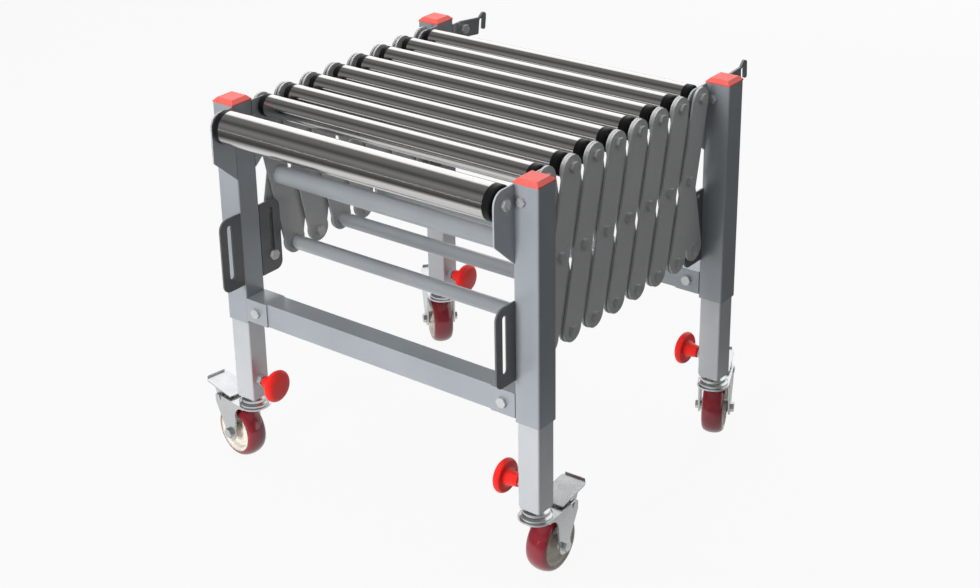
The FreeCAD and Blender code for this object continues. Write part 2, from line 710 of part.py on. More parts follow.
def roller(y, z, diameter, wall):
    """A roller: a steel tube with a plastic end cap that turns on the axle at each end."""
    radius = diameter / 2
    tube_half = ROLLER_HALF - ROLLER_CAP_RIM
    bore_r = PIVOT_R + RUN_GAP
    solids = [turned_x([(-tube_half, radius - wall), (tube_half, radius - wall), (tube_half, radius),
                        (-tube_half, radius)], y, z)]
    for side in (-1, 1):
        end = side * ROLLER_HALF
        shoulder = side * tube_half
        plug = side * (tube_half - ROLLER_CAP_PLUG)
        profile = [(plug, bore_r), (end, bore_r), (end, radius - ROLLER_CAP_EDGE),
                   (end - side * ROLLER_CAP_EDGE, radius), (shoulder, radius),
                   (shoulder, radius - wall), (plug, radius - wall)]
        solids.append(turned_x(profile, y, z))
    return solids


def knob(corner):
    """A domed clamp knob on a neck, with the screw that presses on the leg."""
    side, end = CORNERS[corner]
    face = POST_SPAN / 2 - SLEEVE / 2
    tip = POST_SPAN / 2 - LEG / 2 - KNOB_TIP_GAP
    neck = face - CLAMP_NUT_HEIGHT - KNOB_NUT_GAP
    rear = neck - KNOB_NECK
    front = rear - KNOB_THICKNESS
    stud_r = KNOB_STUD_DIAMETER / 2
    rim = rear - KNOB_RIM_START
    profile = [(tip, 0), (tip, stud_r), (neck, stud_r), (neck, KNOB_NECK_ROOT / 2),
               (rear, KNOB_NECK_DIAMETER / 2), (rear, KNOB_REAR_DIAMETER / 2), (rim, KNOB_DIAMETER / 2),
               (rim - KNOB_RIM_WIDTH, KNOB_DIAMETER / 2), (front + KNOB_CROWN_DROP, KNOB_FACE_DIAMETER / 2),
               (front, KNOB_CROWN_DIAMETER / 2), (front, 0)]
    return [turned_x([(side * x, radius) for x, radius in profile], post_y(end), KNOB_Z)]


def leg(corner):
    """The sliding leg with its foot plate, and the caster's fixed race and kingpin under it."""
    side, end = CORNERS[corner]
    x = side * POST_SPAN / 2
    y = post_y(end)
    foot_top = CASTER_HEIGHT - FOOT_GAP
    foot_low = foot_top - FOOT_PLATE
    tube = square_tube(x, y, foot_top, foot_top + LEG_LENGTH, LEG, LEG_WALL)
    foot = square_face(x, y, foot_low, FOOT_SIDE, TUBE_CORNER).extrude(Vector(0, 0, FOOT_PLATE))
    race_r = RACE_DIAMETER / 2
    pin_r = KINGPIN_DIAMETER / 2
    head_r = KINGPIN_HEAD_DIAMETER / 2
    race_low = foot_low - RACE_HEIGHT
    head_top = CROWN_BOTTOM - SWIVEL_GAP
    race = turned_z([(0, foot_low), (race_r - RACE_BEVEL, foot_low), (race_r, foot_low - RACE_BEVEL),
                     (race_r, race_low), (pin_r, race_low), (pin_r, head_top), (head_r, head_top),
                     (head_r, head_top - KINGPIN_HEAD), (0, head_top - KINGPIN_HEAD)])
    race.translate(Vector(x, y, 0))
    return [tube.fuse(foot), race]


def set_caster(shape, corner):
    """Turns a caster piece, made trailing along +X, to its angle and moves it under its leg."""
    side, end = CORNERS[corner]
    turned = shape.copy()
    turned.rotate(Vector(0, 0, 0), Vector(0, 0, 1), CASTER_ANGLE[corner])
    turned.translate(Vector(side * POST_SPAN / 2, post_y(end), 0))
    return turned


def fork():
    """The swivel fork: dished crown and two cheeks, with the wheel axle and the brake pin."""
    half = CHEEK_INSIDE + CHEEK
    axle_z = WHEEL_DIAMETER / 2
    crown = rounded_face([(-CROWN_FRONT, -half, CROWN_ROUND), (CROWN_BACK, -half, CROWN_CORNER),
                          (CROWN_BACK, half, CROWN_CORNER), (-CROWN_FRONT, half, CROWN_ROUND)],
                         on_xy(CROWN_BOTTOM))
    dish_r = DISH_DIAMETER / 2
    dish = turned_z([(0, CROWN_TOP), (dish_r, CROWN_TOP), (dish_r, DISH_TOP - DISH_BEVEL),
                     (dish_r - DISH_BEVEL, DISH_TOP), (0, DISH_TOP)])
    body = crown.extrude(Vector(0, 0, CROWN_PLATE)).fuse(dish)
    for side in (-1, 1):
        outline = [(-CHEEK_FRONT, CROWN_TOP, 0), (CHEEK_BACK, CROWN_TOP, CROWN_CORNER),
                   (CHEEK_BACK, CROWN_TOP - CHEEK_EAR, CHEEK_ROUND),
                   (TRAIL + AXLE_EYE, axle_z + AXLE_EYE_RISE, CHEEK_WAIST_ROUND),
                   (TRAIL + AXLE_EYE, axle_z - AXLE_EYE, AXLE_EYE_ROUND),
                   (TRAIL - AXLE_EYE, axle_z - AXLE_EYE, AXLE_EYE_ROUND),
                   (TRAIL - AXLE_EYE - CHEEK_LEAN, CROWN_BOTTOM - CHEEK_SKIRT, CHEEK_ARCH),
                   (-CHEEK_FRONT, CROWN_BOTTOM - CHEEK_SKIRT, 0)]
        cheek = rounded_face(outline, on_xz(side * CHEEK_INSIDE)).extrude(Vector(0, side * CHEEK, 0))
        body = body.fuse(cheek)
    body = body.cut(Part.makeCylinder(KINGPIN_DIAMETER / 2 + RUN_GAP, DISH_TOP))
    body = body.cut(rod_y(TRAIL, -half, half, axle_z, AXLE_DIAMETER / 2 + SEAT_GAP))
    body = body.cut(rod_y(BRAKE_PIN_OUT, -half, half, BRAKE_PIN_Z, BRAKE_PIN_DIAMETER / 2 + SEAT_GAP))
    bolt = rod_y(TRAIL, -half, half, axle_z, AXLE_DIAMETER / 2)
    pin = rod_y(BRAKE_PIN_OUT, -half, half, BRAKE_PIN_Z, BRAKE_PIN_DIAMETER / 2)
    head_r = BRAKE_PIN_HEAD_DIAMETER / 2
    for side in (-1, 1):
        bolt = bolt.fuse(hex_y(TRAIL, side * half, side * (half + HEX_HEIGHT), axle_z, HEX_ACROSS))
        pin = pin.fuse(rod_y(BRAKE_PIN_OUT, side * half, side * (half + BRAKE_PIN_HEAD), BRAKE_PIN_Z, head_r))
    return [body.removeSplitter(), bolt, pin]


def wheel():
    """A caster wheel: a moulded hub on the axle and a round-shouldered tread bonded to it."""
    radius = WHEEL_DIAMETER / 2
    half = WHEEL_WIDTH / 2
    seat = radius - TREAD_DEPTH
    shoulder = radius - TREAD_ROUND
    boss_half = CHEEK_INSIDE - HUB_SIDE_GAP
    boss_r = HUB_BOSS_DIAMETER / 2
    bore_r = AXLE_DIAMETER / 2 + RUN_GAP
    edges = [
        Part.LineSegment(Vector(seat, -half, 0), Vector(shoulder, -half, 0)).toShape(),
        Part.Arc(Vector(shoulder, -half, 0), Vector(radius, 0, 0), Vector(shoulder, half, 0)).toShape(),
        Part.LineSegment(Vector(shoulder, half, 0), Vector(seat, half, 0)).toShape(),
        Part.LineSegment(Vector(seat, half, 0), Vector(seat, -half, 0)).toShape(),
    ]
    tread = Part.Face(Part.Wire(edges)).revolve(Vector(0, 0, 0), Vector(0, 1, 0), 360)
    rim_r = seat - HUB_RIM
    profile = [(bore_r, -boss_half), (boss_r, -boss_half), (boss_r, -HUB_WEB_HALF), (rim_r, -HUB_WEB_HALF),
               (rim_r, -half), (seat, -half), (seat, half), (rim_r, half),
               (rim_r, HUB_WEB_HALF), (boss_r, HUB_WEB_HALF), (boss_r, boss_half), (bore_r, boss_half)]
    hub = rounded_face([(r, y, 0) for r, y in profile], on_xy(0))
    hub = hub.revolve(Vector(0, 0, 0), Vector(0, 1, 0), 360)
    for shape in (hub, tread):
        shape.translate(Vector(TRAIL, 0, radius))
    return [hub, tread]


def tongue_drop():
    """How far the brake tongue hangs below its pin: fully pressed, it stops just short of the tread."""
    turn = radians(BRAKE_TRAVEL)
    out = BRAKE_TONGUE_OUT - PEDAL_PLATE
    right = BRAKE_PIN_OUT - TRAIL + out * cos(turn)
    up = BRAKE_PIN_Z - WHEEL_DIAMETER / 2 - out * sin(turn)
    along = right * sin(turn) + up * cos(turn)
    stop = WHEEL_DIAMETER / 2 + BRAKE_GAP
    return along - sqrt(along ** 2 - right ** 2 - up ** 2 + stop ** 2)


def brake_pedal():
    """The brake lever: a foot plate with a turned lip, two ears on the pin and a tongue to the tread."""
    root_z = CROWN_TOP + PEDAL_ROOT_LIFT
    tip_z = CROWN_TOP + PEDAL_TIP_LIFT
    half = PEDAL_HALF
    bend = PEDAL_TIP - PEDAL_PLATE
    plate = rounded_face([(PEDAL_ROOT, -half, PEDAL_CORNER), (PEDAL_TIP, -half, PEDAL_ROUND),
                          (PEDAL_TIP, half, PEDAL_ROUND), (PEDAL_ROOT, half, PEDAL_CORNER)], on_xy(0))
    side_view = rounded_face([(PEDAL_ROOT, root_z, 0), (bend, tip_z, 0), (PEDAL_TIP, tip_z, 0),
                              (PEDAL_TIP, tip_z + PEDAL_LIP, 0), (bend, tip_z + PEDAL_LIP, 0),
                              (bend, tip_z + PEDAL_PLATE, 0), (PEDAL_ROOT, root_z + PEDAL_PLATE, 0)],
                             on_xz(-half))
    body = plate.extrude(Vector(0, 0, tip_z + PEDAL_LIP))
    body = body.common(side_view.extrude(Vector(0, 2 * half, 0)))
    slope = (tip_z - root_z) / (bend - PEDAL_ROOT)

    def under(out):
        return root_z + slope * (out - PEDAL_ROOT)

    ear_front = BRAKE_PIN_OUT - PEDAL_EAR_ROUND
    ear_back = BRAKE_PIN_OUT + PEDAL_EAR_ROUND
    ear_low = BRAKE_PIN_Z - PEDAL_EAR_ROUND
    ear_end = BRAKE_PIN_OUT + PEDAL_EAR_BACK
    for side in (-1, 1):
        ear = rounded_face([(ear_front, ear_low, PEDAL_EAR_CORNER), (ear_back, ear_low, PEDAL_EAR_CORNER),
                            (ear_end, under(ear_end), 0), (ear_front, under(ear_front), 0)],
                           on_xz(side * PEDAL_EAR_INSIDE))
        body = body.fuse(ear.extrude(Vector(0, side * PEDAL_EAR, 0)))
    tongue_back = BRAKE_PIN_OUT + BRAKE_TONGUE_OUT
    tongue_front = tongue_back - PEDAL_PLATE
    tongue_low = BRAKE_PIN_Z - tongue_drop()
    tongue = rounded_face([(tongue_front, tongue_low, 0), (tongue_back, tongue_low, 0),
                           (tongue_back, under(tongue_back), 0), (tongue_front, under(tongue_front), 0)],
                          on_xz(-BRAKE_TONGUE_WIDTH / 2))
    body = body.fuse(tongue.extrude(Vector(0, BRAKE_TONGUE_WIDTH, 0)))
    hole = rod_y(BRAKE_PIN_OUT, -half, half, BRAKE_PIN_Z, BRAKE_PIN_DIAMETER / 2 + RUN_GAP)
    return [body.cut(hole).removeSplitter()]


def build():
    """Every node of the table: its name and its separate solids."""
    nodes = {}
    for name, end in (("front", -1), ("rear", 1)):
        nodes[name + "_frame_tubes"] = frame_tubes(end)
        nodes[name + "_sleeves"] = sleeves(end)
        nodes[name + "_caps"] = caps(end)
        nodes[name + "_brackets"] = brackets(end)
        nodes[name + "_slot_plates"] = slot_plates(end)
        nodes[name + "_fasteners"] = fasteners(end)
    nodes["hook_left"] = hook(-1)
    nodes["hook_right"] = hook(1)
    for i in range(UNITS):
        nodes["inner_links_%d" % (i + 1)] = inner_links(i)
        nodes["outer_links_%d" % (i + 1)] = outer_links(i)
    nodes["front_tie_rods"] = (tie_rod(pivot_y(0.5), MIDDLE_Z, FIRST_ROD_DIAMETER)
                               + tie_rod(pivot_y(1), BOTTOM_Z, ROD_DIAMETER))
    nodes["middle_tie_rod"] = tie_rod(pivot_y(3), BOTTOM_Z, ROD_DIAMETER)
    nodes["rear_tie_rod"] = tie_rod(pivot_y(5), BOTTOM_Z, ROD_DIAMETER)
    nodes["front_roller"] = roller(FRONT_ROLLER_Y, FRONT_ROLLER_Z, FRONT_ROLLER_DIAMETER, FRONT_ROLLER_WALL)
    for i in range(UNITS + 1):
        nodes["roller_%d" % (i + 1)] = roller(pivot_y(i), TOP_Z, ROLLER_DIAMETER, ROLLER_WALL)
    for corner in CORNERS:
        nodes["leg_" + corner] = leg(corner)
        nodes["knob_" + corner] = knob(corner)
        nodes["fork_" + corner] = [set_caster(shape, corner) for shape in fork()]
        nodes["wheel_" + corner] = [set_caster(shape, corner) for shape in wheel()]
        nodes["brake_pedal_" + corner] = [set_caster(shape, corner) for shape in brake_pedal()]
    return nodes


os.makedirs("parts", exist_ok=True)
NODES = build()
for node, solids in NODES.items():
    shape = Part.makeCompound(solids)
    shape.exportStep("parts/%s.step" % node)
print("nodes", len(NODES), "solids", sum(len(solids) for solids in NODES.values()))
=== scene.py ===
# %% [markdown]
# # Expandable roller table
# The real table is a wheeled stand: two end frames of square tube, joined on each side by a
# lazy-tong scissor whose top pivots carry a deck of free rollers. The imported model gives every
# bar, tube and bolt its place and its motion. This lesson gives them their finishes, turns
# smooth rollers, wheels and knobs on a lathe of numpy arrays, and sets up a plain pale studio
# with a camera at the photograph's angle. All lengths are in metres.

import json
import math

import bmesh
import bpy
import numpy as np
from mathutils import Matrix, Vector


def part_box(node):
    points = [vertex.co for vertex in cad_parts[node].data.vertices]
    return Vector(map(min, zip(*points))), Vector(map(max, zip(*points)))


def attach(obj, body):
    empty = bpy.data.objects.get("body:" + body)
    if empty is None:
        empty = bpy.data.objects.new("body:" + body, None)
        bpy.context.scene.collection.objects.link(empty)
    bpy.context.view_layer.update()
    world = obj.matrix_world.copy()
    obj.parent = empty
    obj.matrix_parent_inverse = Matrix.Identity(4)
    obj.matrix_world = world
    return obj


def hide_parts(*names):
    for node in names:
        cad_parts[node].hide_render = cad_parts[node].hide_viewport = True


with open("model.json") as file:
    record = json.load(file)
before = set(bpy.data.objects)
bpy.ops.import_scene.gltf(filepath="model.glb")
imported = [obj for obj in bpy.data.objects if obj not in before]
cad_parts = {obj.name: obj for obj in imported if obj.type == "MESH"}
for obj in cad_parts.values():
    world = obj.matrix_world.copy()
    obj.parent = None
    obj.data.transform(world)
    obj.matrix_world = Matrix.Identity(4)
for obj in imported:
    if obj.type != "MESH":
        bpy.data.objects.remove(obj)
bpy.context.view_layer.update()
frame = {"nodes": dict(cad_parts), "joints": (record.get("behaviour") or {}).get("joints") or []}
nodes = frame["nodes"]

# %% [markdown]
# ## Helpers for finishes
# A real finish is never one flat colour: paint has a fine fleck and a soft unevenness, zinc
# has spangles, plastic has a grain. A finish could be a picture wrapped round the piece, but
# that needs a file and shows its pixels up close. Here each one is a Principled shader whose
# colour, roughness and bump are fed by noise on the piece's own Object coordinates, so it is
# sharp at any distance and nothing slides when the table opens. Numbers that are the same
# everywhere go straight on the shader's own sockets.

# %% Node helpers
COLOUR_A, COLOUR_B, COLOUR_OUT = 6, 7, 2  # the colour sockets among those of a Mix node


def link(tree, source, target):
    """Joins one socket to another."""
    tree.links.new(source, target)


def feed(tree, value, target):
    """Links a socket to the target, or sets the target to a number or a colour."""
    if isinstance(value, bpy.types.NodeSocket):
        link(tree, value, target)
    else:
        target.default_value = value if np.isscalar(value) else (*value, 1.0)


def maths(tree, operation, *values):
    """One Math node on sockets or numbers."""
    node = tree.nodes.new("ShaderNodeMath")
    node.operation = operation
    for target, value in zip(node.inputs, values):
        feed(tree, value, target)
    return node.outputs[0]


def ramp(tree, factor, stops):
    """A ramp through (place, value) stops, where a value is a grey number or a colour."""
    node = tree.nodes.new("ShaderNodeValToRGB")
    elements = node.color_ramp.elements
    while len(elements) < len(stops):
        elements.new(0.5)  # moved to its stop below
    for element, (place, value) in zip(elements, stops):
        element.position = place
        element.color = (value, value, value, 1.0) if np.isscalar(value) else (*value, 1.0)
    link(tree, factor, node.inputs["Fac"])
    return node.outputs["Color"]


def between(tree, factor, low, high, start=0.3, stop=0.7):
    """A colour or grey that goes from low to high as the factor goes from start to stop."""
    return ramp(tree, factor, ((start, low), (stop, high)))


def mixed(tree, factor, a, b):
    """Colour a where the factor is 0, b where it is 1."""
    mix = tree.nodes.new("ShaderNodeMix")
    mix.data_type = "RGBA"
    link(tree, factor, mix.inputs["Factor"])
    feed(tree, a, mix.inputs[COLOUR_A])
    feed(tree, b, mix.inputs[COLOUR_B])
    return mix.outputs[COLOUR_OUT]


print("node helpers ready")


# %% Finish helpers
def start_finish(name, **sockets):
    """A new material: its tree, its shader and its Object coordinates. A socket's name has _ for a space."""
    material = bpy.data.materials.new(name)
    material.use_nodes = True
    tree = material.node_tree
    shader = tree.nodes["Principled BSDF"]
    for key, value in sockets.items():
        shader.inputs[key.replace("_", " ")].default_value = value
    coords = tree.nodes.new("ShaderNodeTexCoord").outputs["Object"]
    return material, tree, shader, coords


def noise(tree, coords, scale, detail=2.0, stretch=None):
    """Smooth noise from 0 to 1; scale is in cells per metre, stretch multiplies it along X, Y and Z."""
    if stretch is not None:
        mapping = tree.nodes.new("ShaderNodeMapping")
        mapping.inputs["Scale"].default_value = stretch
        link(tree, coords, mapping.inputs["Vector"])
        coords = mapping.outputs["Vector"]
    texture = tree.nodes.new("ShaderNodeTexNoise")
    texture.inputs["Scale"].default_value = scale
    texture.inputs["Detail"].default_value = detail
    link(tree, coords, texture.inputs["Vector"])
    return texture.outputs["Fac"]


def spangles(tree, coords, scale):
    """Random cells, as on plated steel or in metallic paint; scale is in cells per metre."""
    texture = tree.nodes.new("ShaderNodeTexVoronoi")
    texture.inputs["Scale"].default_value = scale
    link(tree, coords, texture.inputs["Vector"])
    return texture.outputs["Color"]


def bumped(tree, shader, height, strength, distance):
    """Sends a height field to the shader's normal."""
    bump = tree.nodes.new("ShaderNodeBump")
    bump.inputs["Strength"].default_value = strength
    bump.inputs["Distance"].default_value = distance
    link(tree, height, bump.inputs["Height"])
    link(tree, bump.outputs["Normal"], shader.inputs["Normal"])


def shade(colour, share):
    """The same colour, lighter or darker."""
    return tuple(channel * share for channel in colour)


print("finish helpers ready")

# %% [markdown]
# ## Painted steel
# On the real table the posts and rails are grey paint with a metallic fleck under a clear
# gloss, the sleeves below them are a lighter silver, and the plates have a duller powder coat
# with a fine orange peel. The flecks could be scattered as tiny flakes, but they are half a
# millimetre wide and only seen as a shimmer. So one function makes all the paints: a slow
# noise for unevenness, a fine cell pattern for the fleck, and a bump for the peel.

# %% Painted finishes
UNEVEN, WEAR, PEEL, FLECK = 9.0, 45.0, 420.0, 1800.0  # cells per metre
PEEL_DEPTH = 0.0004
SLEEVE_SILVER = (0.45, 0.465, 0.484)


def painted(name, colour, roughness, metallic, coat, fleck, peel):
    """Paint: slow colour change over centimetres, fleck over half a millimetre, peel in the bump."""
    material, tree, shader, coords = start_finish(name, Metallic=metallic, Coat_Weight=coat,
                                                  Coat_Roughness=0.12)
    slow = noise(tree, coords, UNEVEN, detail=4.0)
    tone = between(tree, slow, shade(colour, 0.93), shade(colour, 1.06))
    share = between(tree, spangles(tree, coords, FLECK), 0.0, fleck, start=0.2, stop=0.8)
    link(tree, mixed(tree, share, tone, shade(colour, 1.6)), shader.inputs["Base Color"])
    wear = noise(tree, coords, WEAR, detail=3.0)
    link(tree, between(tree, wear, roughness - 0.015, roughness + 0.02), shader.inputs["Roughness"])
    bumped(tree, shader, noise(tree, coords, PEEL), strength=peel, distance=PEEL_DEPTH)
    return material


frame_paint = painted("frame_paint", (0.285, 0.309, 0.333), roughness=0.33, metallic=0.24, coat=0.3,
                      fleck=0.2, peel=0.05)
sleeve_paint = painted("sleeve_paint", SLEEVE_SILVER, roughness=0.34, metallic=0.3, coat=0.2,
                       fleck=0.18, peel=0.06)
plate_paint = painted("plate_paint", (0.345, 0.365, 0.392), roughness=0.42, metallic=0.1, coat=0.15,
                      fleck=0.1, peel=0.16)
rod_paint = painted("rod_paint", (0.27, 0.288, 0.306), roughness=0.34, metallic=0.2, coat=0.3,
                    fleck=0.1, peel=0.04)
dark_paint = painted("dark_paint", (0.115, 0.119, 0.123), roughness=0.4, metallic=0.2, coat=0.2,
                     fleck=0.1, peel=0.12)
hook_paint = painted("hook_paint", (0.19, 0.196, 0.202), roughness=0.38, metallic=0.3, coat=0.2,
                     fleck=0.1, peel=0.1)
print("painted finishes", len((frame_paint, sleeve_paint, plate_paint, rod_paint, dark_paint, hook_paint)))

# %% [markdown]
# ## Bright zinc and polished steel
# Bolts and casters are zinc plated: a cool bright metal with soft spangles and a little
# unevenness in its gloss. The roller tubes are drawn and polished, so their scratches run
# round the tube, and along it they show only faint bands. Anisotropic shading could smear the
# highlight of such a tube, but its clear long reflections are what the eye sees. So noise that
# is squeezed along the tube gives it hairline rings, and the reflections stay clear.

# %% Metal finishes
CASTER_GREY = (0.58, 0.595, 0.602)
RING_SCALE, RING_STRETCH = 60.0, (14.0, 0.4, 0.4)


def plated(name, colour, roughness, grain, metallic):
    """Zinc plate: cells of slightly different grey and gloss over a smooth metal, grain cells per metre."""
    material, tree, shader, coords = start_finish(name, Metallic=metallic)
    cells = between(tree, spangles(tree, coords, grain), 0.0, 1.0, start=0.1, stop=0.9)
    link(tree, mixed(tree, cells, shade(colour, 0.95), colour), shader.inputs["Base Color"])
    cloud = noise(tree, coords, grain / 5, detail=4.0)
    link(tree, between(tree, cloud, roughness - 0.06, roughness + 0.08), shader.inputs["Roughness"])
    bumped(tree, shader, noise(tree, coords, grain * 2, detail=3.0), strength=0.03, distance=0.0003)
    return material


def polished_tube(name, colour, roughness):
    """Polished steel: hairline rings round the X axis in gloss and tone."""
    material, tree, shader, coords = start_finish(name, Metallic=1.0)
    rings = noise(tree, coords, RING_SCALE, detail=6.0, stretch=RING_STRETCH)
    link(tree, between(tree, rings, shade(colour, 0.94), colour), shader.inputs["Base Color"])
    link(tree, between(tree, rings, roughness - 0.03, roughness + 0.05), shader.inputs["Roughness"])
    bumped(tree, shader, rings, strength=0.02, distance=0.0002)
    return material


zinc = plated("zinc", (0.60, 0.608, 0.608), roughness=0.3, grain=260.0, metallic=0.6)
caster_zinc = plated("caster_zinc", CASTER_GREY, roughness=0.24, grain=200.0, metallic=0.9)
roller_steel = polished_tube("roller_steel", (0.61, 0.60, 0.588), roughness=0.14)
print("metal finishes", len((zinc, caster_zinc, roller_steel)))

# %% [markdown]
# ## Plastic and polyurethane
# Caps and knobs are injection moulded, so they have a faint grain and a soft gloss. The tread
# is cast polyurethane, dark red and clear on top; the hub is a cream moulding, and the rollers'
# end caps are black. Light soaks a little way into all of these, and subsurface scattering
# could show that, but at this size it is hardly seen. So they are plain shaders with a fine
# bump, and a clear coat where the surface looks wet.

# %% Moulded finishes
MOTTLE, GRAIN = 30.0, 900.0  # cells per metre


def moulded(name, colour, roughness, grain, coat=0.0, shine=0.5):
    """Moulded plastic: fine grain in the bump, a slow change of gloss and tone."""
    material, tree, shader, coords = start_finish(name, Coat_Weight=coat, Coat_Roughness=0.08,
                                                  Specular_IOR_Level=shine)
    slow = noise(tree, coords, MOTTLE, detail=3.0)
    link(tree, between(tree, slow, shade(colour, 0.9), shade(colour, 1.08)), shader.inputs["Base Color"])
    link(tree, between(tree, slow, roughness - 0.05, roughness + 0.05), shader.inputs["Roughness"])
    bumped(tree, shader, noise(tree, coords, GRAIN), strength=grain, distance=0.0003)
    return material


cap_red = moulded("cap_red", (0.72, 0.10, 0.08), roughness=0.45, grain=0.12)
knob_red = moulded("knob_red", (0.86, 0.019, 0.014), roughness=0.42, grain=0.05, coat=0.04)
tread_red = moulded("tread", (0.20, 0.011, 0.019), roughness=0.24, grain=0.03, coat=0.45)
hub_cream = moulded("hub_cream", (0.68, 0.635, 0.56), roughness=0.4, grain=0.06)
end_black = moulded("end_black", (0.007, 0.007, 0.0075), roughness=0.4, grain=0.08, shine=0.2)
print("moulded finishes", len((cap_red, knob_red, tread_red, hub_cream, end_black)))

# %% [markdown]
# ## One node, two finishes
# A scissor link's node holds the painted bars and the zinc bolts in them, and a leg's node
# holds the silver tube and the zinc race under it. Two material slots would need the faces of
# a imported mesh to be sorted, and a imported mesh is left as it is. So the two are told apart by
# where they are: bars lie in a thin layer of X, races lie below the foot plate. The mask is a
# plain step on one Object coordinate.

# %% Split finish
SPLIT_CELLS, SPLIT_CLOUD = 900.0, 60.0  # cells per metre


def step_between(tree, value, low, high):
    """1 where low < value < high, otherwise 0."""
    above = maths(tree, "GREATER_THAN", value, low)
    below = maths(tree, "LESS_THAN", value, high)
    return maths(tree, "MULTIPLY", above, below)


def split_finish(name, axis, low, high, inside, outside, coat=0.1):
    """Two finishes on one node, each (colour, roughness, metallic): paint inside, where the size of the
    coordinate lies between low and high, and zinc outside."""
    material, tree, shader, coords = start_finish(name, Coat_Weight=coat)
    paint_colour, paint_rough, paint_metal = inside
    plate_colour, plate_rough, plate_metal = outside
    parts = tree.nodes.new("ShaderNodeSeparateXYZ")
    link(tree, coords, parts.inputs["Vector"])
    mask = step_between(tree, maths(tree, "ABSOLUTE", parts.outputs[axis]), low, high)
    slow = noise(tree, coords, UNEVEN, detail=4.0)
    tone = between(tree, slow, shade(paint_colour, 0.9), shade(paint_colour, 1.04))
    cells = between(tree, spangles(tree, coords, SPLIT_CELLS), 0.0, 1.0, start=0.1, stop=0.9)
    paint = mixed(tree, cells, tone, shade(paint_colour, 1.12))
    plate = mixed(tree, cells, shade(plate_colour, 0.9), plate_colour)
    link(tree, mixed(tree, mask, plate, paint), shader.inputs["Base Color"])
    cloud = noise(tree, coords, SPLIT_CLOUD, detail=4.0)
    rough_in = between(tree, cloud, paint_rough - 0.05, paint_rough + 0.06)
    rough_out = between(tree, cloud, plate_rough - 0.06, plate_rough + 0.08)
    link(tree, mixed(tree, mask, rough_out, rough_in), shader.inputs["Roughness"])
    link(tree, mixed(tree, mask, (plate_metal,) * 3, (paint_metal,) * 3), shader.inputs["Metallic"])
    bumped(tree, shader, noise(tree, coords, PEEL), strength=0.12, distance=PEEL_DEPTH)
    return material


print("split finish ready")

# %% Links and legs
X, Z = 0, 2  # places among the coordinates
HEAD_TO_BARS, BOLT_GRIP = 0.0059, 0.0092  # from a bolt's head to the layer of bars, and through the layer
RACE_RISE = 0.0096  # how far a race stands above its fork
OVERHEAD = 2.0  # higher than any leg
LINK_GREY, BOLT_GREY = (0.46, 0.461, 0.463), (0.56, 0.56, 0.56)

BAR_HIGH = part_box("outer_links_1")[1].x - HEAD_TO_BARS
BAR_LOW = BAR_HIGH - BOLT_GRIP
RACE_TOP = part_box("fork_front_left")[1].z + RACE_RISE

link_and_bolts = split_finish("link_and_bolts", X, BAR_LOW, BAR_HIGH,
                              inside=(LINK_GREY, 0.46, 0.15), outside=(BOLT_GREY, 0.34, 0.5))
leg_and_race = split_finish("leg_and_race", Z, RACE_TOP, OVERHEAD,
                            inside=(SLEEVE_SILVER, 0.34, 0.3), outside=(CASTER_GREY, 0.24, 1.0))
print("bars between", round(BAR_LOW, 4), round(BAR_HIGH, 4), "races below", round(RACE_TOP, 4))

# %% [markdown]
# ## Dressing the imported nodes
# Most of the real table is cut, bent and welded steel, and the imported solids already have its
# shape. They could be rebuilt with finer edges, but then what is seen could drift from what
# moves and touches. So each solid keeps its mesh, and its name says which finish it gets: the
# first key of the list that is part of the name counts.

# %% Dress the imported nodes
FINISH_OF = (
    ("_frame_tubes", frame_paint), ("_sleeves", sleeve_paint), ("_caps", cap_red),
    ("_brackets", plate_paint), ("_slot_plates", dark_paint), ("_fasteners", zinc),
    ("links_", link_and_bolts), ("tie_rod", rod_paint), ("hook_", hook_paint),
    ("leg_", leg_and_race), ("fork_", caster_zinc), ("brake_pedal_", caster_zinc),
    ("roller", roller_steel), ("knob_", knob_red), ("wheel_", tread_red),
)
for name, node in nodes.items():
    finish = next(material for key, material in FINISH_OF if key in name)
    node.data.materials.clear()
    node.data.materials.append(finish)
print("dressed", len(nodes), "nodes")

# %% [markdown]
# ## A lathe made of arrays
# Rollers, wheels and knobs are turned or moulded round, and polished steel shows every facet,
# so they are rebuilt finely. Blender's Screw modifier could turn a profile, but with one finish
# for all of it. Here a profile of (along, radius) points is carried round an axis, the whole
# grid of points is one numpy expression, and each run of the profile has its own finish.
# Corners of the profile are first rounded by short arcs, as a real edge is.

# %% Lathe
AROUND = 96
MOST_OF_A_RUN = 0.45  # an arc takes at most this share of a short run
NEARLY_UPRIGHT = 0.9


def eased(profile, radius=0.0006, steps=4):
    """A profile with each inner corner c replaced by a small arc: the quadratic curve
    (1 - t)^2 a + 2 t (1 - t) c + t^2 b, where a and b lie on the two runs, a radius away from c."""
    points = np.asarray(profile, float)
    corner = points[1:-1]
    before, after = points[:-2] - corner, points[2:] - corner
    length_before = np.linalg.norm(before, axis=1)[:, None]
    length_after = np.linalg.norm(after, axis=1)[:, None]
    enter = corner + before / length_before * np.minimum(radius, MOST_OF_A_RUN * length_before)
    leave = corner + after / length_after * np.minimum(radius, MOST_OF_A_RUN * length_after)
    t = np.linspace(0, 1, steps)[None, :, None]
    curve = (1 - t) ** 2 * enter[:, None] + 2 * t * (1 - t) * corner[:, None] + t ** 2 * leave[:, None]
    return np.vstack([points[:1], curve.reshape(-1, 2), points[-1:]])


